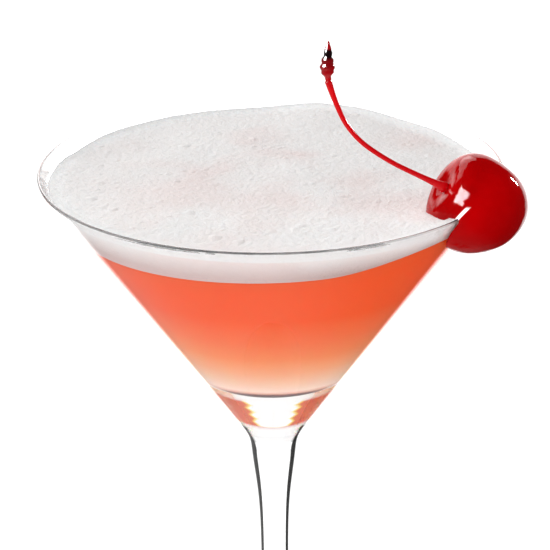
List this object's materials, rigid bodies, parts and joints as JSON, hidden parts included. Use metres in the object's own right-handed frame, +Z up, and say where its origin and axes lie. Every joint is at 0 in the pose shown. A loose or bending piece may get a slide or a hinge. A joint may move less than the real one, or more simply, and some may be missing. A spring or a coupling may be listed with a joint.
{
  "type": "pink lady cocktail in a stemmed glass",
  "caption": "Stemmed cone-shaped cocktail glass filled with a coral drink under a thick white foam, with a red cherry on a curved stem slit onto the rim.",
  "frame": {"origin": "centre of the foot's flat underside, on the stem's axis", "axes": "+Z up the stem; +X towards the cherry's side of the rim, with the cherry 28.5 degrees from it towards -Y; +Y away from the side first seen"},
  "size_m": [0.1084, 0.105, 0.2113],
  "materials": {
    "clear_glass": "clear blown soda-lime glass, fire-polished",
    "coral_drink": "cloudy coral liquid, paler towards the bottom",
    "egg_white_foam": "fine-bubbled matte white foam with a faint pink tinge",
    "candied_cherry": "syrupy glossy deep red, slightly translucent",
    "candied_stem": "glossy dark red, woody at the knob"
  },
  "bodies": {
    "root": {"glass": "clear_glass", "drink": "coral_drink", "foam": "egg_white_foam", "cherry": "candied_cherry", "cherry_stem": "candied_stem"}
  },
  "joints": []
}
